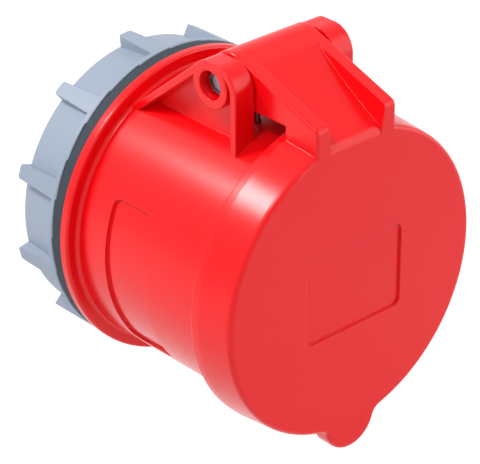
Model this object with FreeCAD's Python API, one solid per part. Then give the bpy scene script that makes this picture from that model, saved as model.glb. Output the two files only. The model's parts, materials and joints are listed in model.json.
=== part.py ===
import FreeCAD, Part
import math
import os

V = FreeCAD.Vector

# Industrial panel socket, sizes in millimetres.
# Origin: on the socket axis, in the panel plane. X right, lid faces -Y, hinge is up, +Z.

# fits and gaps
slide = 0.05
loose = 0.3
overlap = 0.2
beyond = 1.0

# barrel, flange and threaded sleeve
barrel_r = 31.9
barrel_wall = 2.9
rim_y = -50.6
rim_round = 0.7
flange_step = 2.94
flange_thick = 2.28
gasket_thick = 2.82
sleeve_inset = 1.4
sleeve_wall = 2.9
sleeve_rear = 14.2
shelf_step = 4.3
shelf_thick = 2.5
shelf_rear = -5.5
key_width = 7.2
key_depth = 1.4
key_short = 4.0
bore_r = barrel_r - barrel_wall
flange_r = barrel_r + flange_step
flange_rear = -gasket_thick
flange_front = flange_rear - flange_thick
sleeve_r = barrel_r - sleeve_inset
sleeve_bore_r = sleeve_r - sleeve_wall
shelf_front = shelf_rear - shelf_thick
shelf_r = bore_r - shelf_step

# recessed label field on the left of the barrel
field_gap = 9.1
field_long = 12.3
field_from = 153.3
field_to = 220.5
field_depth = 0.65
field_round = 2.0
field_rear = flange_front - field_gap
field_front = field_rear - field_long

# hinge, on an axis along X
hinge_y = -29.86
hinge_rise = 8.92
pin_r = 2.5
lug_in = 11.2
lug_wide = 5.1
lug_reach = 7.57
lug_rise = 5.03
lug_sink = 5.0
lug_round = 5.6
web_thick = 1.6
rib_thick = 1.67
rim_thick = 1.5
boss_r = 5.04
counterbore_r = 3.06
counterbore_deep = 2.9
hinge_z = barrel_r + hinge_rise
lug_out = lug_in + lug_wide
lug_front = hinge_y - lug_reach
lug_top = hinge_z + lug_rise
lug_foot_z = barrel_r - lug_sink
web_out = lug_in + web_thick
counterbore_x = lug_out - counterbore_deep

# lid
lid_ahead = 4.5
lid_behind = 6.4
lid_step = 2.8
lid_draft = 0.8
lid_band = 2.1
lid_skirt = 1.35
lid_taper = 1.15
lid_thick = 2.5
lid_round = 1.1
face_y = rim_y - lid_ahead
lid_rear = rim_y + lid_behind
band_y = lid_rear - lid_band
inner_face = face_y + lid_thick
lid_rear_r = barrel_r + lid_step
lid_r = lid_rear_r - lid_draft
inner_rear_r = lid_rear_r - lid_skirt
inner_front_r = inner_rear_r - lid_taper
panel_x = 13.4
panel_z = 9.7
panel_shift = -0.35
panel_round = 1.8
panel_deep = 0.5
tab_r = 6.9
tab_drop = 5.8
tab_thick = 4.2
tab_cove = 2.6
tab_round = 0.9
catch_half = 5.0
catch_low = 27.2
catch_high = 24.6
catch_long = 4.2

# seal in the lid
seal_rib = 1.1
seal_gap = 0.2
seal_out = inner_front_r - seal_gap
seal_in = bore_r - loose
seal_rear = rim_y - loose

# hood that carries the lid on the pin
hood_play = 0.35
hood_x = lug_in - hood_play
knuckle_r = 5.6
hood_slope = 19.7
hood_nose = 1.6
hood_edge = 0.6
rim_wide = 3.05
rim_draft = 10.0
flute_start = 3.95
flute_end_slope = 27.0
flute_round = 3.0
flute_sink = 2.9
arm_drop = 4.86
arm_short = 1.9
slope = math.tan(math.radians(hood_slope))
touch_y = hinge_y - knuckle_r * math.sin(math.radians(hood_slope))
touch_z = hinge_z + knuckle_r * math.cos(math.radians(hood_slope))
arm_under = hinge_z - arm_drop
arm_front = lid_rear - arm_short

# torsion spring and its room in the hood
wire_r = 0.7
coil_r = 3.35
coil_pitch = 1.6
coil_turns = 6.75
coil_left = -6.7
leg_sink = 1.4
leg_reach = 12.14
room_side = 0.7
room_r = coil_r + wire_r + loose
room_x = wire_r - coil_left
leg_foot = barrel_r - leg_sink
leg_end_y = hinge_y - leg_reach

# ring nut and gasket
nut_front = 0.35
nut_long = 12.55
collar_thick = 1.15
collar_inset = 0.24
body_step = 1.3
body_draft = 1.35
thread_gap = 0.06
grips = 11
grip_first = 94.9
grip_front_width = 4.5
grip_rear_width = 3.2
grip_low = 0.9
teeth = 25
tooth_first = 135.0
tooth_height = 0.3
tooth_inner = 1.7
gasket_inset = 0.29
collar_r = flange_r - collar_inset
nut_body_front_r = collar_r - body_step
nut_body_rear_r = nut_body_front_r - body_draft
collar_rear = nut_front + collar_thick
nut_rear = nut_front + nut_long
gasket_r = flange_r - gasket_inset

# contact carrier, two halves
carrier_gap = 4.7
carrier_back_of_rim = 4.1
split_y = -2.7
back_gap = 1.2
back_rear = 21.0
carrier_r = bore_r - carrier_gap
carrier_front = rim_y + carrier_back_of_rim
carrier_flange_r = sleeve_bore_r - loose
back_r = shelf_r - back_gap

# contacts: five on one circle, earth at the bottom
circle_r = 18.0
contact_sink = 3.0
bore_length = 28.0
tube_wall = 0.9
chamber_gap = 0.5
shank_r = 2.0
collar_out = 0.75
collar_seat = 3.3
terminal_front = 9.0
terminal_long = 10.3
terminal_wall = 0.95
screw_back = 2.7
slot_width = 0.7
slot_long = 12.0
contact_front = carrier_front + contact_sink
collar_front = split_y - collar_seat
terminal_rear = terminal_front + terminal_long
screw_y = terminal_rear - screw_back
contact_sizes = {
    "contact_pe": (270.0, 3.5),
    "contact_l1": (198.0, 2.5),
    "contact_l2": (126.0, 2.5),
    "contact_l3": (54.0, 2.5),
    "contact_n": (342.0, 2.5),
}

# spring rings and clamp screws of the contacts
ring_from_front = 1.9
ring_groove = 1.2
ring_deep = 0.35
clamp_r = 1.25
clamp_head_r = 1.9
clamp_head = 1.35
well_r = 2.2

# carrier screws and retaining ring
carrier_screws = 3
carrier_screw_circle = 8.5
carrier_screw_r = 1.5
carrier_screw_head_r = 2.7
carrier_screw_head = 2.4
screw_sunk = 3.2
screw_deep = 9.3
clip_thick = 1.1
clip_wide = 2.0
clip_groove = 0.9
clip_eye_r = 1.35
clip_eye_hole = 0.6
clip_front = split_y + overlap / 2
clip_rear = clip_front + clip_thick


def along_y(radius, front, rear, x=0.0, z=0.0):
    return Part.makeCylinder(radius, rear - front, V(x, front, z), V(0, 1, 0))


def along_x(radius, left, right, y=hinge_y, z=hinge_z):
    return Part.makeCylinder(radius, right - left, V(left, y, z), V(1, 0, 0))


def outward(radius, near_end, far_end, y):
    """A round bar along a radius of the socket, at the right-hand side."""
    return Part.makeCylinder(radius, far_end - near_end, V(near_end, y, 0), V(1, 0, 0))


def outline(corners, place):
    """A closed wire through (a, b, corner radius), put in space by place(a, b)."""
    count = len(corners)
    edges = []
    joints = []
    for i, (a, b, radius) in enumerate(corners):
        before = corners[i - 1]
        after = corners[(i + 1) % count]
        to_before = V(before[0] - a, before[1] - b, 0).normalize()
        to_after = V(after[0] - a, after[1] - b, 0).normalize()
        if radius == 0:
            joints.append((V(a, b, 0), None, V(a, b, 0)))
            continue
        half = to_before.getAngle(to_after) / 2
        run = radius / math.tan(half)
        bisector = (to_before + to_after).normalize()
        middle = V(a, b, 0) + bisector * (radius / math.sin(half) - radius)
        joints.append((V(a, b, 0) + to_before * run, middle, V(a, b, 0) + to_after * run))
    for i, (start, middle, end) in enumerate(joints):
        previous = joints[i - 1][2]
        if previous.distanceToPoint(start) > 1e-6:
            edges.append(Part.LineSegment(place(previous.x, previous.y), place(start.x, start.y)).toShape())
        if middle is not None:
            arc = Part.Arc(place(start.x, start.y), place(middle.x, middle.y), place(end.x, end.y))
            edges.append(arc.toShape())
    return Part.Wire(edges)


def turned(corners):
    """Turn a closed outline of (radius, y, corner radius) about the socket axis."""
    face = Part.Face(outline(corners, lambda r, y: V(r, y, 0)))
    return face.revolve(V(0, 0, 0), V(0, 1, 0), 360)


def side_plate(corners, left, right):
    """Pull a closed outline of (y, z, corner radius) along X."""
    face = Part.Face(outline(corners, lambda y, z: V(left, y, z)))
    return face.extrude(V(right - left, 0, 0))


def front_plate(corners, front, rear):
    """Pull a closed outline of (x, z, corner radius) along Y."""
    face = Part.Face(outline(corners, lambda x, z: V(x, front, z)))
    return face.extrude(V(0, rear - front, 0))


def box_plate(half_x, low, high, corner, front, rear):
    """A front plate that is a rectangle about x = 0."""
    corners = [(-half_x, low, corner), (half_x, low, corner), (half_x, high, corner), (-half_x, high, corner)]
    return front_plate(corners, front, rear)


def round_edges(shape, radius, wanted):
    return shape.makeFillet(radius, [edge for edge in shape.Edges if wanted(edge)])


def all_at(edge, test):
    return all(test(vertex.Point) for vertex in edge.Vertexes)


def near(value, target):
    return abs(value - target) < 0.02


def turn_about_axis(shape, degrees):
    """Counted like the angles seen from the front: 0 is right, 90 is up."""
    copy = shape.copy()
    copy.rotate(V(0, 0, 0), V(0, -1, 0), degrees)
    return copy


def mirrored(shape):
    return shape.mirror(V(0, 0, 0), V(1, 0, 0))


def spot(angle, radius=circle_r):
    return radius * math.cos(math.radians(angle)), radius * math.sin(math.radians(angle))


def save(name, shape):
    shape.removeSplitter().exportStep("parts/" + name + ".step")


# housing: barrel, flange and threaded sleeve in one turning
def make_housing():
    groove_r = sleeve_bore_r + clip_groove
    body = turned([
        (barrel_r, rim_y, rim_round),
        (barrel_r, flange_front, 0.9),
        (flange_r, flange_front, 0.6),
        (flange_r, flange_rear, 0.3),
        (sleeve_r, flange_rear, 0),
        (sleeve_r, sleeve_rear, 0.7),
        (sleeve_bore_r, sleeve_rear, 0.4),
        (sleeve_bore_r, clip_rear + overlap / 2, 0),
        (groove_r, clip_rear + overlap / 2, 0),
        (groove_r, clip_front - overlap / 2, 0),
        (sleeve_bore_r, clip_front - overlap / 2, 0),
        (sleeve_bore_r, shelf_rear, 0),
        (shelf_r, shelf_rear, 0),
        (shelf_r, shelf_front, 0),
        (bore_r, shelf_front, 0),
        (bore_r, rim_y, rim_round),
    ])
    lug = make_lug()
    body = body.fuse([lug, mirrored(lug)])
    keyway = front_plate([
        (-key_width / 2, key_depth - bore_r, 0),
        (key_width / 2, key_depth - bore_r, 0),
        (key_width / 2, -bore_r - key_depth, 0.5),
        (-key_width / 2, -bore_r - key_depth, 0.5),
    ], rim_y - beyond, shelf_front - key_short)
    pocket_place = V(coil_left, hinge_y - coil_r, leg_foot - loose)
    leg_pocket = Part.makeCylinder(wire_r + loose, leg_sink + beyond, pocket_place)
    return body.cut([keyway, make_field(), leg_pocket])


def make_lug():
    """One hinge lug: a web with a front rib, a sloping top rim and a boss round the pin."""
    back_y = flange_front + overlap / 2
    back_z = barrel_r - 4.3
    plate = side_plate([
        (lug_front, lug_foot_z, 0),
        (lug_front, lug_top, lug_round),
        (hinge_y + 2.26, lug_top, 3.0),
        (back_y, back_z, 0),
        (back_y, lug_foot_z, 0),
    ], lug_in, lug_out)
    pocket = side_plate([
        (lug_front + rib_thick, lug_foot_z - beyond, 0),
        (lug_front + rib_thick, lug_top - rim_thick, lug_round - rim_thick),
        (hinge_y + 1.61, lug_top - rim_thick, 1.8),
        (back_y - 2.4, back_z, 0),
        (back_y - 2.4, lug_foot_z - beyond, 0),
    ], web_out, lug_out + beyond)
    boss = along_x(boss_r, web_out - overlap, lug_out)
    lug = plate.cut(pocket).fuse(boss)
    lug = lug.cut(along_x(counterbore_r, counterbore_x, lug_out + beyond))
    lug = lug.cut(along_x(pin_r + slide, lug_in - beyond, lug_out + beyond)).removeSplitter()

    def outer_rim(edge):
        return all_at(edge, lambda p: near(p.x, lug_out) and p.z > lug_foot_z + 3.5 and p.y < flange_front - 4)

    return round_edges(lug, 0.3, outer_rim)


def make_field():
    """The shallow curved field cut into the side of the barrel."""
    floor_r = barrel_r - field_depth
    outer_r = barrel_r + beyond
    profile = Part.makePolygon([
        V(floor_r, field_front, 0),
        V(outer_r, field_front, 0),
        V(outer_r, field_rear, 0),
        V(floor_r, field_rear, 0),
        V(floor_r, field_front, 0),
    ])
    block = Part.Face(profile).revolve(V(0, 0, 0), V(0, -1, 0), field_to - field_from)
    block = round_edges(block, field_round, lambda edge: near(edge.Length, outer_r - floor_r))
    return turn_about_axis(block, field_from)


# lid: a drafted cap with a hood on the hinge pin and an opening tab
def make_lid():
    cap = turned([
        (0, face_y, 0),
        (lid_r, face_y, lid_round),
        (lid_rear_r, band_y, 0),
        (lid_rear_r, lid_rear, 0.3),
        (0, lid_rear, 0),
    ])
    lid = cap.fuse([make_hood(), make_tab()]).cut(make_flute())
    hollow = turned([
        (0, inner_face, 0),
        (inner_front_r, inner_face, seal_gap),
        (inner_rear_r, lid_rear, 0),
        (inner_rear_r, lid_rear + overlap, 0),
        (0, lid_rear + overlap, 0),
    ])
    panel_low = panel_shift - panel_z
    panel_high = panel_shift + panel_z
    panel = box_plate(panel_x, panel_low, panel_high, panel_round, face_y - beyond, face_y + panel_deep)
    lid = lid.cut([hollow, panel])
    rib_out = seal_in - slide
    rib = along_y(rib_out, inner_face - overlap, inner_face + seal_rib)
    rib = rib.cut(along_y(rib_out - seal_rib, inner_face - beyond, inner_face + seal_rib + beyond))
    catch = box_plate(catch_half, -catch_low, -catch_high, 0.6, inner_face - overlap, inner_face + catch_long)
    return lid.fuse([rib, catch])


def make_tab():
    """The nose under the lid: a round tip that runs into the rim through two coves."""
    tip_z = -(lid_r + tab_drop - tab_r)
    to_cove = lid_r + tab_cove
    tip_to_cove = tab_r + tab_cove
    down = (to_cove ** 2 + tip_z ** 2 - tip_to_cove ** 2) / (2 * -tip_z)
    cove_x = math.sqrt(to_cove ** 2 - down ** 2)
    cove = V(cove_x, face_y, -down)
    tip = V(0, face_y, tip_z)
    centre = V(0, face_y, 0)
    on_rim = centre + (cove - centre) * (lid_r / to_cove)
    on_tip = tip + (cove - tip) * (tab_r / tip_to_cove)
    towards = ((on_rim + on_tip) / 2 - cove).normalize()
    in_cove = cove + towards * tab_cove

    def other(point):
        return V(-point.x, point.y, point.z)

    top_z = tip_z + tab_r
    edges = [
        Part.Arc(on_rim, in_cove, on_tip).toShape(),
        Part.Arc(on_tip, tip - V(0, 0, tab_r), other(on_tip)).toShape(),
        Part.Arc(other(on_tip), other(in_cove), other(on_rim)).toShape(),
        Part.LineSegment(other(on_rim), V(-on_rim.x, face_y, top_z)).toShape(),
        Part.LineSegment(V(-on_rim.x, face_y, top_z), V(on_rim.x, face_y, top_z)).toShape(),
        Part.LineSegment(V(on_rim.x, face_y, top_z), on_rim).toShape(),
    ]
    tab = Part.Face(Part.Wire(edges)).extrude(V(0, tab_thick, 0))

    def front_curve(edge):
        return near(edge.CenterOfMass.y, face_y) and "Circle" in edge.Curve.TypeId

    return round_edges(tab, tab_round, front_curve)


def hood_top(y):
    """Height of the hood's sloping top, a tangent to the knuckle."""
    return touch_z + slope * (y - touch_y)


def make_hood():
    foot_z = lid_r - 4.9
    block = side_plate([
        (face_y, foot_z, 0),
        (face_y, hood_top(face_y), hood_nose),
        (touch_y, hood_top(touch_y), 0),
        (hinge_y, hinge_z, 0),
        (hinge_y - 1.2, arm_under, 0),
        (arm_front, arm_under, 0),
        (arm_front, foot_z, 0),
    ], -hood_x, hood_x)
    block = block.fuse(along_x(knuckle_r, -hood_x, hood_x)).removeSplitter()

    def outer_edge(edge):
        middle = edge.CenterOfMass
        along_top = near(middle.z, hood_top(middle.y)) and middle.y < touch_y
        at_front = middle.y < face_y + hood_nose and middle.z > foot_z + 1
        return near(abs(middle.x), hood_x) and (along_top or at_front)

    hood = round_edges(block, hood_edge, outer_edge).cut(make_room())
    return hood.cut(along_x(pin_r + slide, -hood_x - beyond, hood_x + beyond))


def make_flute():
    """The hollow between the hood's side rims: a gentle arc that rounds over into the face."""
    tilt = math.radians(flute_end_slope)
    rim_in = hood_x - rim_wide
    start_y = touch_y - flute_start
    foot_z = lid_r - flute_sink
    foot = V(0, face_y, foot_z)
    centre = foot + V(0, flute_round, 0)
    end = centre + V(0, -math.sin(tilt), math.cos(tilt)) * flute_round
    start = V(0, start_y, hood_top(start_y))
    chord = end - start
    turn = math.atan2(-chord.z, -chord.y) - tilt
    sag = chord.Length / 2 * math.tan(turn / 2)
    middle = (start + end) / 2 + V(0, chord.z, -chord.y).normalize() * sag * -1
    half_tilt = tilt / 2 + math.pi / 4
    on_round = centre + V(0, -math.sin(half_tilt), math.cos(half_tilt)) * flute_round
    high = hinge_z + 12
    ahead = face_y - 3
    edges = [
        Part.Arc(start, middle, end).toShape(),
        Part.Arc(end, on_round, foot).toShape(),
    ]
    edges += Part.makePolygon([foot, V(0, ahead, foot_z), V(0, ahead, high), V(0, start_y, high), start]).Edges
    side = Part.Face(Part.Wire(edges))
    side.translate(V(-hood_x, 0, 0))
    above = 8.0
    below = 14.0
    lean = math.tan(math.radians(rim_draft))
    trough = Part.Face(Part.makePolygon([
        V(-rim_in - above * lean, touch_y, touch_z + above),
        V(rim_in + above * lean, touch_y, touch_z + above),
        V(rim_in - below * lean, touch_y, touch_z - below),
        V(below * lean - rim_in, touch_y, touch_z - below),
        V(-rim_in - above * lean, touch_y, touch_z + above),
    ]))
    run = touch_y - face_y + 4
    return side.extrude(V(2 * hood_x, 0, 0)).common(trough.extrude(V(0, -run, -run * slope)))


def make_room():
    """Space for the spring inside the hood, open below and behind."""
    half = room_x + room_side - wire_r
    low = arm_under - 3
    ledge_z = hinge_z - coil_r - wire_r - loose
    ledge_rear = leg_end_y + 0.7
    ledge_front = leg_end_y - 1.0
    coil_space = along_x(room_r, -half, half)
    under = side_plate([
        (hinge_y, hinge_z, 0),
        (hinge_y, low, 0),
        (ledge_rear, low, 0),
        (ledge_rear, ledge_z, 0),
        (ledge_front, ledge_z, 0.4),
        (ledge_front, ledge_z + 2 * wire_r, 0.4),
        (ledge_rear, ledge_z + 2 * wire_r + 0.9, 0),
        (hinge_y - 5.54, hinge_z + 1.9, 1.5),
        (hinge_y - 1.54, hinge_z + 4.0, 0),
    ], -half, half)
    behind = side_plate([
        (hinge_y, hinge_z, 0),
        (hinge_y + 4.0, hinge_z + 6.93, 0),
        (hinge_y + 10.0, hinge_z + 6.93, 0),
        (hinge_y + 10.0, low, 0),
        (hinge_y, low, 0),
    ], -half, half)
    return coil_space.fuse([under, behind])


def make_lid_seal():
    return turned([
        (seal_in, inner_face, 0),
        (seal_out, inner_face, 0),
        (seal_out, seal_rear, 0.4),
        (seal_in, seal_rear, 0.4),
    ])


# hinge pin, its clip and the spring
def hexagon(across_corners, left, right, first):
    """A six-sided bar along the hinge axis, its first corner so many degrees from +Y."""
    corners = []
    for k in range(7):
        angle = math.radians(first + 60 * k)
        y = hinge_y + across_corners / 2 * math.cos(angle)
        z = hinge_z + across_corners / 2 * math.sin(angle)
        corners.append(V(left, y, z))
    return Part.Face(Part.makePolygon(corners)).extrude(V(right - left, 0, 0))


def make_pin():
    """A pin with a six-sided dished head on the left and a turned-down end on the right."""
    head_wide = 2 * (counterbore_r - 0.25)
    head_left = -counterbore_x - 0.85
    turned_first = 8
    shaft = along_x(pin_r, -counterbore_x, counterbore_x + overlap / 2)
    head = hexagon(head_wide, head_left, -counterbore_x, turned_first)
    head = head.makeChamfer(0.25, [e for e in head.Edges if near(e.CenterOfMass.x, head_left)])
    dish = hexagon(head_wide - 1.3, head_left - beyond, head_left + 0.5, turned_first)
    button = hexagon(head_wide - 2.3, head_left + 0.1, -counterbore_x, turned_first)
    end = along_x(1.7, counterbore_x, counterbore_x + 1.7)
    end = end.makeChamfer(0.35, [e for e in end.Edges if near(e.CenterOfMass.x, counterbore_x + 1.7)])
    return shaft.fuse([head.cut(dish), button, end])


def make_pin_clip():
    disc = along_x(counterbore_r - 0.1, counterbore_x + 0.15, counterbore_x + 0.75)
    return disc.cut(along_x(1.7 + 0.02, counterbore_x - beyond, counterbore_x + 2))


def make_spring():
    """Wound from a leg set in the barrel, over the pin, to a leg on the hood's ledge."""
    length = coil_pitch * coil_turns
    helix = Part.makeHelix(coil_pitch, length, coil_r, 0, True)
    circle = Part.Wire(Part.makeCircle(wire_r, V(coil_r, 0, 0), V(0, 1, 0)))
    coil = Part.Wire(helix.Edges).makePipeShell([circle], True, True)
    turn = FreeCAD.Rotation(V(0, -1, 0), V(0, 0, -1), V(1, 0, 0))
    coil.Placement = FreeCAD.Placement(V(coil_left, hinge_y, hinge_z), turn)
    front_y = hinge_y - coil_r
    under_z = hinge_z - coil_r
    right = coil_left + length
    barrel_leg = Part.makeCylinder(wire_r, hinge_z - leg_foot, V(coil_left, front_y, leg_foot))
    lid_leg = Part.makeCylinder(wire_r, leg_reach, V(right, leg_end_y, under_z), V(0, 1, 0))
    return coil.fuse([barrel_leg, lid_leg])


# ring nut with eleven grips and a saw-toothed front edge
def make_ring_nut():
    bore = sleeve_r + thread_gap
    body = turned([
        (bore, nut_front, 0),
        (collar_r, nut_front, 0.2),
        (collar_r, collar_rear, 0.25),
        (nut_body_front_r, collar_rear, 0),
        (nut_body_rear_r, nut_rear, 0.3),
        (bore, nut_rear, 0.3),
    ])
    front = grip_front_width / 2
    rear = grip_rear_width / 2
    foot_z = nut_body_rear_r - 0.7
    profile = outline([
        (-front, collar_rear - 0.4, 0),
        (front, collar_rear - 0.4, 0),
        (rear, nut_rear, 0.6),
        (-rear, nut_rear, 0.6),
    ], lambda x, y: V(x, y, foot_z))
    grip = Part.Face(profile).extrude(V(0, 0, 5)).common(along_y(collar_r, 0, nut_rear + beyond))
    bodies = [turn_about_axis(grip, grip_first - 90 + k * 360 / grips) for k in range(grips)]
    inner = collar_r - tooth_inner
    half = inner * math.tan(math.pi / teeth)
    wedge = Part.makePolygon([
        V(-half, nut_front + 0.1, inner),
        V(half, nut_front + 0.1, inner),
        V(half, nut_front, inner),
        V(-half, nut_front - tooth_height, inner),
        V(-half, nut_front + 0.1, inner),
    ])
    tooth = Part.Face(wedge).extrude(V(0, 0, tooth_inner + beyond)).common(along_y(collar_r - 0.1, -1, 2))
    tooth_start = tooth_first - 90 + 180 / teeth
    bodies += [turn_about_axis(tooth, tooth_start + k * 360 / teeth) for k in range(teeth)]
    return body.fuse(bodies)


def make_gasket():
    inner = sleeve_r + slide
    return turned([
        (inner, flange_rear, 0),
        (gasket_r, flange_rear, 0.3),
        (gasket_r, 0, 0.3),
        (inner, 0, 0),
    ])


# contact carrier: front half with the plug face, rear half with the terminals
def make_carrier_front():
    body = turned([
        (0, carrier_front, 0),
        (carrier_r, carrier_front, 0.8),
        (carrier_r, shelf_rear, 0),
        (carrier_flange_r, shelf_rear, 0),
        (carrier_flange_r, split_y, 0),
        (0, split_y, 0),
    ])
    cuts = []
    for angle, pin in contact_sizes.values():
        x, z = spot(angle)
        chamber = pin + tube_wall + chamber_gap
        cuts.append(along_y(chamber, carrier_front - beyond, split_y + beyond, x, z))
        cuts.append(along_y(chamber + 0.4, collar_front, split_y + beyond, x, z))
    for k in range(carrier_screws):
        x, z = spot(90 + k * 120, carrier_screw_circle)
        cuts.append(along_y(carrier_screw_r + 0.02, split_y - screw_deep - 0.5, split_y + beyond, x, z))
    return body.cut(cuts)


def make_carrier_back():
    body = turned([
        (0, split_y, 0),
        (back_r, split_y, 0),
        (back_r, back_rear, 0.8),
        (0, back_rear, 0),
    ])
    cuts = []
    for angle, pin in contact_sizes.values():
        x, z = spot(angle)
        cuts.append(along_y(pin + terminal_wall + 0.15, split_y - beyond, terminal_rear + 0.2, x, z))
        cuts.append(along_y(pin + 0.1, terminal_rear, back_rear + beyond, x, z))
        cuts.append(turn_about_axis(outward(well_r, circle_r, circle_r + 8, screw_y), angle))
    for k in range(carrier_screws):
        x, z = spot(90 + k * 120, carrier_screw_circle)
        cuts.append(along_y(carrier_screw_r + 0.1, split_y - beyond, back_rear + beyond, x, z))
        cuts.append(along_y(carrier_screw_head_r + loose, back_rear - screw_sunk, back_rear + beyond, x, z))
    return body.cut(cuts)


def make_contact(angle, pin):
    """A sleeve for the pin in front, a collar held between the halves, a terminal behind."""
    x, z = spot(angle)
    tube = pin + tube_wall
    bore_end = contact_front + bore_length
    body = along_y(tube, contact_front, bore_end + 2, x, z)
    body = body.makeChamfer(0.3, [e for e in body.Edges if near(e.CenterOfMass.y, contact_front)])
    shank = along_y(shank_r, bore_end, terminal_front + 1, x, z)
    collar = along_y(tube + collar_out, collar_front + slide, split_y, x, z)
    terminal = along_y(pin + terminal_wall, terminal_front, terminal_rear, x, z)
    body = body.fuse([shank, collar, terminal])
    groove_front = contact_front + ring_from_front
    groove_rear = groove_front + ring_groove
    groove = along_y(tube + 1, groove_front, groove_rear, x, z)
    groove = groove.cut(along_y(tube - ring_deep, groove_front - 1, groove_rear + 1, x, z))
    bore = along_y(pin, contact_front - beyond, bore_end, x, z)
    slot_place = V(x - slot_width / 2, contact_front - beyond, z - 6)
    slot = Part.makeBox(slot_width, slot_long, 12, slot_place)
    slot.rotate(V(x, 0, z), V(0, -1, 0), angle)
    wire_hole = along_y(pin - 0.35, terminal_front + 2.5, terminal_rear + beyond, x, z)
    thread = outward(clamp_r + 0.02, circle_r, circle_r + 6, screw_y)
    return body.cut([groove, bore, slot, wire_hole, turn_about_axis(thread, angle)])


def make_spring_ring(angle, pin):
    """The round steel ring that keeps the slotted sleeve closed on the pin."""
    x, z = spot(angle)
    tube = pin + tube_wall
    front = contact_front + ring_from_front + slide
    rear = front + ring_groove - 2 * slide
    ring = along_y(tube + ring_deep, front, rear, x, z)
    ring = ring.cut(along_y(tube - ring_deep + 0.02, front - beyond, rear + beyond, x, z))
    gap = Part.makeBox(9, 3, 0.8, V(0, front - beyond, -0.4))
    gap.translate(V(x, 0, z))
    gap.rotate(V(x, 0, z), V(0, -1, 0), angle + 60)
    return ring.cut(gap)


def make_terminal_screw(angle, pin):
    """Radial wire clamp screw with a slotted head."""
    outer = circle_r + pin + terminal_wall
    tip = circle_r + pin - 0.9
    under_head = outer + 0.1
    shank = outward(clamp_r, tip, under_head + 0.1, screw_y)
    head = outward(clamp_head_r, under_head, under_head + clamp_head, screw_y)
    slot = Part.makeBox(clamp_head, 0.5, 6, V(under_head + clamp_head / 2, screw_y - 0.25, -3))
    return turn_about_axis(shank.fuse(head).cut(slot), angle)


def make_carrier_screws():
    screws = []
    head_front = back_rear - screw_sunk
    head_rear = head_front + carrier_screw_head
    for k in range(carrier_screws):
        x, z = spot(90 + k * 120, carrier_screw_circle)
        shank = along_y(carrier_screw_r, split_y - screw_deep, head_front + overlap, x, z)
        head = along_y(carrier_screw_head_r, head_front, head_rear, x, z)
        cross = Part.makeBox(3.4, 1.4, 0.7, V(x - 1.7, head_rear - 1.2, z - 0.35))
        across = Part.makeBox(0.7, 1.4, 3.4, V(x - 0.35, head_rear - 1.2, z - 1.7))
        screws.append(shank.fuse(head).cut([cross, across]))
    return Part.makeCompound(screws)


def make_retaining_ring():
    """An inner spring clip, open at the top, with two eyes for the pliers."""
    outer = sleeve_bore_r + clip_groove - 0.2
    ring = along_y(outer, clip_front, clip_rear)
    ring = ring.cut(along_y(outer - clip_wide, clip_front - beyond, clip_rear + beyond))
    wide = [(-4.6, outer + beyond, 0), (4.6, outer + beyond, 0), (3.4, outer - 8, 0), (-3.4, outer - 8, 0)]
    ring = ring.cut(front_plate(wide, clip_front - beyond, clip_rear + beyond))
    for side in (-1, 1):
        x, z = spot(90 - side * 10.6, outer - 1.9)
        eye = along_y(clip_eye_r, clip_front, clip_rear, x, z)
        hole = along_y(clip_eye_hole, clip_front - beyond, clip_rear + beyond, x, z)
        ring = ring.fuse(eye).cut(hole)
    return ring


os.makedirs("parts", exist_ok=True)

save("housing", make_housing())
save("lid", make_lid())
save("lid_seal", make_lid_seal())
save("hinge_pin", make_pin())
save("pin_clip", make_pin_clip())
save("torsion_spring", make_spring())
save("ring_nut", make_ring_nut())
save("flange_gasket", make_gasket())
save("carrier_front", make_carrier_front())
save("carrier_back", make_carrier_back())
for name, (angle, pin) in contact_sizes.items():
    save(name, make_contact(angle, pin))
phase = [size for name, size in contact_sizes.items() if name != "contact_pe"]
save("phase_spring_rings", Part.makeCompound([make_spring_ring(*size) for size in phase]))
save("pe_spring_ring", make_spring_ring(*contact_sizes["contact_pe"]))
save("phase_terminal_screws", Part.makeCompound([make_terminal_screw(*size) for size in phase]))
save("pe_terminal_screw", make_terminal_screw(*contact_sizes["contact_pe"]))
save("carrier_screws", make_carrier_screws())
save("retaining_ring", make_retaining_ring())
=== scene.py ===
"""Finishes and studio for a red industrial panel socket with a sprung lid.

The solids come from the frame. This file gives each of them the surface of the real moulding,
rubber or metal, and sets the floor, the light and the camera.
"""

import json
import math

import bpy
from bpy.props import FloatProperty, FloatVectorProperty, PointerProperty, StringProperty
from mathutils import Matrix, Vector


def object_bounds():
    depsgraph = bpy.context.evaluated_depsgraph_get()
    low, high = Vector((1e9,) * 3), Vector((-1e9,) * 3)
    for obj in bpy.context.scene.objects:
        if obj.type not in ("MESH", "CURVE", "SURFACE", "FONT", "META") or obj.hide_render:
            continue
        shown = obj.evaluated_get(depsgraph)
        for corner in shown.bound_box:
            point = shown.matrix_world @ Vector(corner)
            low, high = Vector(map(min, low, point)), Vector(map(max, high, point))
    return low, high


bl_info = {
    "name": "Panel Socket Finish",
    "version": (1, 0, 0),
    "blender": (4, 5, 0),
    "location": "View3D > Sidebar > Panel Socket",
    "description": "Finishes and studio for an industrial panel socket",
    "category": "Object",
}

MM = 0.001

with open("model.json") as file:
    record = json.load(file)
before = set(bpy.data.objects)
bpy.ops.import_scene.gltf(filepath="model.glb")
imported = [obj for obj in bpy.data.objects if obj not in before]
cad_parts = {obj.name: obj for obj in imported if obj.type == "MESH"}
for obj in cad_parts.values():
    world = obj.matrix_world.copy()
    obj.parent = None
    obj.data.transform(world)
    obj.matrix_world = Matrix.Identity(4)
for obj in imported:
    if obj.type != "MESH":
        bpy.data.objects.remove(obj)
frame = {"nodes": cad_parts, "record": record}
nodes = frame["nodes"]
cad_low, cad_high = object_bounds()

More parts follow.
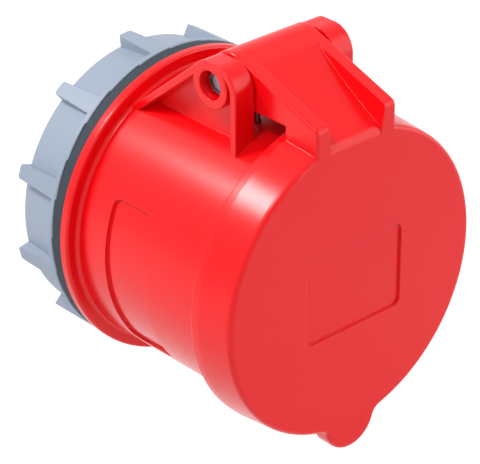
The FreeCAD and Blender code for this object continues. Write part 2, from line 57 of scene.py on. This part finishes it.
# The hood's flute starts in front of the hinge axis and above it.
joints = {joint["name"]: joint for joint in frame["record"]["behaviour"]["joints"]}
hinge = Vector(joints["lid_hinge"]["pos_m"])
flute_start = hinge + Vector((0, -5.64, 4.18)) * MM

# Each softbox: power in watts, side and distance in metres, and its direction from the socket.
SOFTBOXES = {
    "key": (5.7, 0.2, 1.0, (-0.457, 0.50, 0.735)),
    "edge": (3.0, 0.12, 1.0, (-0.50, -0.05, 0.865)),
    "front": (8.1, 1.2, 1.2, (0.76, -0.60, 0.24)),
}


def linear(hex_colour):
    """sRGB hex to linear RGBA."""
    channels = [int(hex_colour[i:i + 2], 16) / 255 for i in (0, 2, 4)]
    return tuple(c / 12.92 if c <= 0.04045 else ((c + 0.055) / 1.055) ** 2.4 for c in channels) + (1.0,)


def put(tree, kind, settings=None, inputs=None):
    """Adds one node, with its settings, its values and its links."""
    made = tree.nodes.new(kind)
    for name, value in (settings or {}).items():
        setattr(made, name, value)
    for socket, value in (inputs or {}).items():
        if isinstance(value, bpy.types.NodeSocket):
            tree.links.new(value, made.inputs[socket])
        else:
            made.inputs[socket].default_value = value
    return made


def start_material(name, **values):
    """A new material, its tree, its shader and its object coordinates."""
    material = bpy.data.materials.new(name)
    material.use_nodes = True
    tree = material.node_tree
    shader = tree.nodes["Principled BSDF"]
    for socket, value in values.items():
        shader.inputs[socket.replace("_", " ")].default_value = value
    where = put(tree, "ShaderNodeTexCoord").outputs["Object"]
    return material, tree, shader, where


def relief(tree, shader, pattern, edge_radius, strength, samples, depth):
    """Rounds the edges and raises the pattern on the surface."""
    edge = put(tree, "ShaderNodeBevel", {"samples": samples}, {"Radius": edge_radius})
    raised = put(tree, "ShaderNodeBump", None, {
        "Strength": strength, "Distance": depth, "Height": pattern.outputs["Fac"],
        "Normal": edge.outputs["Normal"]})
    tree.links.new(raised.outputs["Normal"], shader.inputs["Normal"])


def wear(node_names, material):
    """Gives CAD nodes their finish."""
    for name in node_names:
        slots = nodes[name].data.materials
        slots.clear()
        slots.append(material)


class SocketColours(bpy.types.PropertyGroup):
    red: StringProperty(name="Red", description="Glossy polyamide of housing and lid", default="E8040D")
    red_deep: StringProperty(name="Deep red", description="Where the melt ran thicker", default="E3030C")
    nut_grey: StringProperty(name="Nut grey", description="Satin polyamide of the ring nut",
                             default="8B97A8")
    rubber: StringProperty(name="Rubber", description="Gasket and lid seal", default="262F38")
    rubber_bloom: StringProperty(name="Rubber bloom", description="Paler patches on the rubber",
                                 default="303A44")
    carrier: StringProperty(name="Carrier", description="Fibre-filled plastic of the carrier",
                            default="3A3D42")
    carrier_fleck: StringProperty(name="Carrier fleck", description="Where fibres show in the carrier",
                                  default="44484E")
    steel: StringProperty(name="Steel", description="Zinc-plated steel", default="8E969C")
    brass: StringProperty(name="Brass", description="Turned brass of the contacts", default="D9B36A")
    paper: StringProperty(name="Paper", description="Floor of the studio", default="D6D6D6")
    paper_pale: StringProperty(name="Pale paper", description="Paler patches of the floor",
                               default="D8D8D8")


class SocketTextures(bpy.types.PropertyGroup):
    """Real sizes of the patterns; a pattern's scale is one over its size."""
    edge: FloatProperty(name="Edge", description="Radius that catches light on moulded edges",
                        default=0.3 * MM, unit="LENGTH")
    crease_edge: FloatProperty(name="Crease edge", description="Larger radius where the flute starts",
                               default=1.2 * MM, unit="LENGTH")
    crease_near: FloatProperty(name="Crease near", description="The larger radius holds up to here",
                               default=5 * MM, unit="LENGTH")
    crease_far: FloatProperty(name="Crease far", description="The larger radius has faded out here",
                              default=10 * MM, unit="LENGTH")
    melt: FloatProperty(name="Melt", description="Size of the clouds in the red",
                        default=28 * MM, unit="LENGTH")
    ripple: FloatProperty(name="Ripple", description="Width of the moulding ripple",
                          default=2.4 * MM, unit="LENGTH")
    grain: FloatProperty(name="Grain", description="Spark-eroded grain of the nut",
                         default=0.35 * MM, unit="LENGTH")
    depth: FloatProperty(name="Depth", description="Height of ripple and grain",
                         default=0.02 * MM, unit="LENGTH")
    bloom: FloatProperty(name="Bloom", description="Size of the patches on the rubber",
                         default=3 * MM, unit="LENGTH")
    fleck: FloatProperty(name="Fleck", description="Size of the flecks in the carrier",
                         default=0.8 * MM, unit="LENGTH")
    drawing: FloatProperty(name="Drawing", description="Width of the marks on drawn steel",
                           default=0.3 * MM, unit="LENGTH")
    tool_rings: FloatProperty(name="Tool rings", description="Spacing of the rings on turned brass",
                              default=2 * MM, unit="LENGTH")
    paper: FloatProperty(name="Paper", description="Size of the floor's patches",
                         default=60 * MM, unit="LENGTH")


class Softbox(bpy.types.PropertyGroup):
    power: FloatProperty(name="Power", description="In watts", default=5.0)
    side: FloatProperty(name="Side", description="Side of the square", default=0.2, unit="LENGTH")
    distance: FloatProperty(name="Distance", description="From the socket", default=1.0, unit="LENGTH")
    way: FloatVectorProperty(name="Way", description="Direction from the socket", default=(0, 0, 1),
                             subtype="XYZ")


class SocketStudio(bpy.types.PropertyGroup):
    lens: FloatProperty(name="Lens", description="Focal length on a 36 mm sensor", default=178.416)
    azimuth: FloatProperty(name="Azimuth", description="Turn of the camera round the socket",
                           default=math.radians(-41.990), subtype="ANGLE")
    elevation: FloatProperty(name="Elevation", description="Camera above the horizon",
                             default=math.radians(28.608), subtype="ANGLE")
    roll: FloatProperty(name="Roll", description="Tilt of the camera about its own axis",
                        default=math.radians(-0.392), subtype="ANGLE")
    place: FloatVectorProperty(name="Place", description="Where the camera stands",
                               default=(-0.29803, -0.35159, 0.24104), subtype="XYZ")
    floor_size: FloatProperty(name="Floor size", description="Side of the floor",
                              default=6000 * MM, unit="LENGTH")
    floor_drop: FloatProperty(name="Floor drop", description="Floor below the lowest point",
                              default=60 * MM, unit="LENGTH")
    fade_start: FloatProperty(name="Fade start", description="The floor starts to fade to white here",
                              default=300 * MM, unit="LENGTH")
    fade_end: FloatProperty(name="Fade end", description="The floor is at its whitest from here",
                            default=1300 * MM, unit="LENGTH")
    glow_near: FloatProperty(name="Near glow", description="Added to the floor under the socket",
                             default=0.28)
    glow_far: FloatProperty(name="Far glow", description="Added to the floor far away", default=0.6)
    air: FloatProperty(name="Air", description="Strength of the white room round the socket", default=0.66)
    key: PointerProperty(type=Softbox, name="Key", description="Small softbox behind and above on the left")
    edge: PointerProperty(type=Softbox, name="Edge", description="Softbox overhead that draws the edges")
    front: PointerProperty(type=Softbox, name="Front", description="Large weak softbox at the front right")


def glossy_red_polyamide(colours, textures):
    """Glass-clear gloss over deep red: injection-moulded polyamide from a polished tool.
    The eye sees broad soft highlights, bright thin edges and a very faint flow ripple."""
    material, tree, shader, where = start_material(
        "moulded_red_polyamide", Roughness=0.25, IOR=1.45, Specular_IOR_Level=0.39)
    melt = put(tree, "ShaderNodeTexNoise", None, {"Vector": where, "Scale": 1 / textures.melt})
    tint = put(tree, "ShaderNodeMix", {"data_type": "RGBA"}, {
        0: melt.outputs["Fac"], 6: linear(colours.red), 7: linear(colours.red_deep)})
    tree.links.new(tint.outputs[2], shader.inputs["Base Color"])
    ripple = put(tree, "ShaderNodeTexNoise", None, {
        "Vector": where, "Scale": 1 / textures.ripple, "Roughness": 0.4})
    # The real moulding is blended where the flute starts, so the edge radius grows there.
    gap = put(tree, "ShaderNodeVectorMath", {"operation": "DISTANCE"}, {0: where, 1: flute_start})
    radius = put(tree, "ShaderNodeMapRange", None, {
        "Value": gap.outputs["Value"], "From Min": textures.crease_near, "From Max": textures.crease_far,
        "To Min": textures.crease_edge, "To Max": textures.edge})
    relief(tree, shader, ripple, radius.outputs["Result"], strength=0.25, samples=6, depth=textures.depth)
    return material


def satin_grey_polyamide(colours, textures):
    """Polyamide from a spark-eroded tool: an even, slightly bluish grey with a matt grain, which
    is drawn coarser than the real one so that it shows."""
    material, tree, shader, where = start_material(
        "moulded_grey_polyamide", Roughness=0.48, IOR=1.52, Base_Color=linear(colours.nut_grey))
    grain = put(tree, "ShaderNodeTexNoise", None, {
        "Vector": where, "Scale": 1 / textures.grain, "Detail": 3.0, "Roughness": 0.6})
    relief(tree, shader, grain, textures.edge, strength=0.3, samples=4, depth=textures.depth)
    return material


def dark_rubber(colours, textures):
    """Moulded nitrile rubber: dull slate with a bloom that lightens it in soft patches."""
    material, tree, shader, where = start_material("nitrile_rubber", Roughness=0.75, IOR=1.45)
    bloom = put(tree, "ShaderNodeTexNoise", None, {
        "Vector": where, "Scale": 1 / textures.bloom, "Detail": 4.0})
    tone = put(tree, "ShaderNodeMix", {"data_type": "RGBA"}, {
        0: bloom.outputs["Fac"], 6: linear(colours.rubber), 7: linear(colours.rubber_bloom)})
    tree.links.new(tone.outputs[2], shader.inputs["Base Color"])
    return material


def carrier_plastic(colours, textures):
    """Fibre-filled thermoset of the contact carrier: dark, dense and slightly mottled."""
    material, tree, shader, where = start_material("filled_carrier_plastic", Roughness=0.55, IOR=1.55)
    fleck = put(tree, "ShaderNodeTexNoise", None, {
        "Vector": where, "Scale": 1 / textures.fleck, "Detail": 3.0})
    tone = put(tree, "ShaderNodeMix", {"data_type": "RGBA"}, {
        0: fleck.outputs["Fac"], 6: linear(colours.carrier), 7: linear(colours.carrier_fleck)})
    tree.links.new(tone.outputs[2], shader.inputs["Base Color"])
    return material


def plated_steel(colours, textures):
    """Zinc-plated steel wire and turned pins: pale metal with drawing marks, which are drawn
    coarser than the real ones so that they show."""
    material, tree, shader, where = start_material(
        "zinc_plated_steel", Metallic=1.0, Base_Color=linear(colours.steel))
    marks = put(tree, "ShaderNodeTexNoise", None, {"Vector": where, "Scale": 1 / textures.drawing})
    rough = put(tree, "ShaderNodeMapRange", None, {
        "Value": marks.outputs["Fac"], "To Min": 0.26, "To Max": 0.44})
    tree.links.new(rough.outputs["Result"], shader.inputs["Roughness"])
    return material


def turned_brass(colours, textures):
    """Turned brass of the contacts: warm yellow with faint tool rings, which are drawn wider
    than the real ones so that they show."""
    material, tree, shader, where = start_material(
        "turned_brass", Metallic=1.0, Base_Color=linear(colours.brass))
    rings = put(tree, "ShaderNodeTexWave", {"bands_direction": "Y"}, {
        "Vector": where, "Scale": 1 / textures.tool_rings, "Distortion": 0.4})
    rough = put(tree, "ShaderNodeMapRange", None, {
        "Value": rings.outputs["Fac"], "To Min": 0.22, "To Max": 0.36})
    tree.links.new(rough.outputs["Result"], shader.inputs["Roughness"])
    return material


class PANELSOCKET_OT_mouldings(bpy.types.Operator):
    """Finish of the red housing and lid and of the grey ring nut"""
    bl_idname = "panelsocket.mouldings"
    bl_label = "Mouldings"

    def execute(self, context):
        scene = context.scene
        wear(["housing", "lid"], glossy_red_polyamide(scene.socket_colours, scene.socket_textures))
        wear(["ring_nut"], satin_grey_polyamide(scene.socket_colours, scene.socket_textures))
        return {"FINISHED"}


class PANELSOCKET_OT_rubber(bpy.types.Operator):
    """Finish of the flange gasket and the lid seal"""
    bl_idname = "panelsocket.rubber"
    bl_label = "Rubber"

    def execute(self, context):
        scene = context.scene
        wear(["flange_gasket", "lid_seal"], dark_rubber(scene.socket_colours, scene.socket_textures))
        return {"FINISHED"}


class PANELSOCKET_OT_metal(bpy.types.Operator):
    """Finish of the pin, the springs, the screws and the contacts"""
    bl_idname = "panelsocket.metal"
    bl_label = "Metal"

    def execute(self, context):
        scene = context.scene
        wear(["hinge_pin", "pin_clip", "torsion_spring", "phase_spring_rings", "pe_spring_ring",
              "phase_terminal_screws", "pe_terminal_screw", "carrier_screws", "retaining_ring"],
             plated_steel(scene.socket_colours, scene.socket_textures))
        wear(["contact_pe", "contact_l1", "contact_l2", "contact_l3", "contact_n"],
             turned_brass(scene.socket_colours, scene.socket_textures))
        return {"FINISHED"}


class PANELSOCKET_OT_carrier(bpy.types.Operator):
    """Finish of the contact carrier's two halves"""
    bl_idname = "panelsocket.carrier"
    bl_label = "Carrier"

    def execute(self, context):
        scene = context.scene
        plastic = carrier_plastic(scene.socket_colours, scene.socket_textures)
        wear(["carrier_front", "carrier_back"], plastic)
        return {"FINISHED"}


def area_light(name, box, middle):
    """A square softbox that faces the socket's middle."""
    light = bpy.data.lights.new(name, "AREA")
    light.energy = box.power
    light.size = box.side
    lamp = bpy.data.objects.new(name, light)
    bpy.context.collection.objects.link(lamp)
    away = Vector(box.way).normalized() * box.distance
    lamp.location = middle + away
    lamp.rotation_euler = away.to_track_quat("Z", "Y").to_euler()


def direct_ray(tree):
    """One for what the camera, a reflection or a clear piece shows, nothing for scattered light."""
    path = put(tree, "ShaderNodeLightPath")
    clear = put(tree, "ShaderNodeMath", {"operation": "MAXIMUM"}, {
        0: path.outputs["Is Camera Ray"], 1: path.outputs["Is Transmission Ray"]})
    both = put(tree, "ShaderNodeMath", {"operation": "MAXIMUM"}, {
        0: clear.outputs[0], 1: path.outputs["Is Glossy Ray"]})
    return both.outputs[0]


def floor_paper(scene):
    """Matt pale paper: takes the soft shadow, and fades to white away from the socket."""
    studio = scene.socket_studio
    colours = scene.socket_colours
    material, tree, shader, where = start_material("floor_paper", Roughness=0.9)
    patches = put(tree, "ShaderNodeTexNoise", None, {
        "Vector": where, "Scale": 1 / scene.socket_textures.paper})
    tone = put(tree, "ShaderNodeMix", {"data_type": "RGBA"}, {
        0: patches.outputs["Fac"], 6: linear(colours.paper), 7: linear(colours.paper_pale)})
    tree.links.new(tone.outputs[2], shader.inputs["Base Color"])
    away = put(tree, "ShaderNodeVectorMath", {"operation": "LENGTH"}, {0: where})
    fade = put(tree, "ShaderNodeMapRange", {"interpolation_type": "SMOOTHSTEP"}, {
        "Value": away.outputs["Value"], "From Min": studio.fade_start, "From Max": studio.fade_end,
        "To Min": studio.glow_near, "To Max": studio.glow_far})
    glow = put(tree, "ShaderNodeEmission", None, {"Strength": fade.outputs["Result"]})
    lit = put(tree, "ShaderNodeAddShader", None, {0: shader.outputs[0], 1: glow.outputs[0]})
    mix = put(tree, "ShaderNodeMixShader", None, {
        0: direct_ray(tree), 1: shader.outputs[0], 2: lit.outputs[0]})
    tree.links.new(mix.outputs[0], tree.nodes["Material Output"].inputs["Surface"])
    return material


class PANELSOCKET_OT_studio(bpy.types.Operator):
    """Floor, world, softboxes and the camera at the photograph's angle"""
    bl_idname = "panelsocket.studio"
    bl_label = "Studio"

    def execute(self, context):
        scene = context.scene
        self.lay_floor(scene)
        self.light_world(scene)
        for name in SOFTBOXES:
            area_light(f"{name}_softbox", getattr(scene.socket_studio, name), (cad_low + cad_high) / 2)
        self.set_camera(scene)
        scene.view_settings.view_transform = "Standard"
        return {"FINISHED"}

    def lay_floor(self, scene):
        studio = scene.socket_studio
        bpy.ops.object.select_all(action="DESELECT")
        height = cad_low.z - studio.floor_drop
        bpy.ops.mesh.primitive_plane_add(size=studio.floor_size, location=(0, 0, height))
        floor = bpy.context.object
        floor.name = "floor"
        floor.data.materials.append(floor_paper(scene))

    def light_world(self, scene):
        world = bpy.data.worlds.new("studio_air")
        scene.world = world
        world.use_nodes = True
        tree = world.node_tree
        ambient = tree.nodes["Background"]
        ambient.inputs["Color"].default_value = linear("FFFFFF")
        ambient.inputs["Strength"].default_value = scene.socket_studio.air
        white = put(tree, "ShaderNodeBackground", None, {"Color": linear("FFFFFF"), "Strength": 1.0})
        mix = put(tree, "ShaderNodeMixShader", None, {
            0: direct_ray(tree), 1: ambient.outputs[0], 2: white.outputs[0]})
        tree.links.new(mix.outputs[0], tree.nodes["World Output"].inputs["Surface"])

    def set_camera(self, scene):
        studio = scene.socket_studio
        lens = bpy.data.cameras.new("photo_camera")
        lens.sensor_fit = "HORIZONTAL"
        lens.sensor_width = 36.0
        lens.lens = studio.lens
        lens.clip_start = 10 * MM
        camera = bpy.data.objects.new("photo_camera", lens)
        bpy.context.collection.objects.link(camera)
        camera.location = studio.place
        round_socket = Matrix.Rotation(studio.azimuth, 3, "Z")
        look_down = Matrix.Rotation(math.pi / 2 - studio.elevation, 3, "X")
        tilt = Matrix.Rotation(studio.roll, 3, "Z")
        camera.rotation_euler = (round_socket @ look_down @ tilt).to_euler()
        scene.camera = camera


class PANELSOCKET_PT_sidebar(bpy.types.Panel):
    """Lists the steps that finish the socket"""
    bl_label = "Panel Socket"
    bl_idname = "PANELSOCKET_PT_sidebar"
    bl_space_type = "VIEW_3D"
    bl_region_type = "UI"
    bl_category = "Panel Socket"

    def draw(self, context):
        column = self.layout.column()
        for step in STEPS:
            column.operator(step.bl_idname)


STEPS = (
    PANELSOCKET_OT_mouldings,
    PANELSOCKET_OT_rubber,
    PANELSOCKET_OT_metal,
    PANELSOCKET_OT_carrier,
    PANELSOCKET_OT_studio,
)
GROUPS = (SocketColours, SocketTextures, Softbox, SocketStudio)


def register():
    for cls in GROUPS + STEPS + (PANELSOCKET_PT_sidebar,):
        bpy.utils.register_class(cls)
    bpy.types.Scene.socket_colours = PointerProperty(type=SocketColours)
    bpy.types.Scene.socket_textures = PointerProperty(type=SocketTextures)
    bpy.types.Scene.socket_studio = PointerProperty(type=SocketStudio)


def unregister():
    del bpy.types.Scene.socket_studio
    del bpy.types.Scene.socket_textures
    del bpy.types.Scene.socket_colours
    for cls in reversed(GROUPS + STEPS + (PANELSOCKET_PT_sidebar,)):
        bpy.utils.unregister_class(cls)


def set_softboxes(studio):
    """Gives the studio's softboxes their power, size and place."""
    for name, (power, side, distance, way) in SOFTBOXES.items():
        box = getattr(studio, name)
        box.power = power
        box.side = side
        box.distance = distance
        box.way = way


def main():
    register()
    set_softboxes(bpy.context.scene.socket_studio)
    bpy.ops.panelsocket.mouldings()
    bpy.ops.panelsocket.rubber()
    bpy.ops.panelsocket.metal()
    bpy.ops.panelsocket.carrier()
    bpy.ops.panelsocket.studio()


if __name__ == "__main__":
    main()
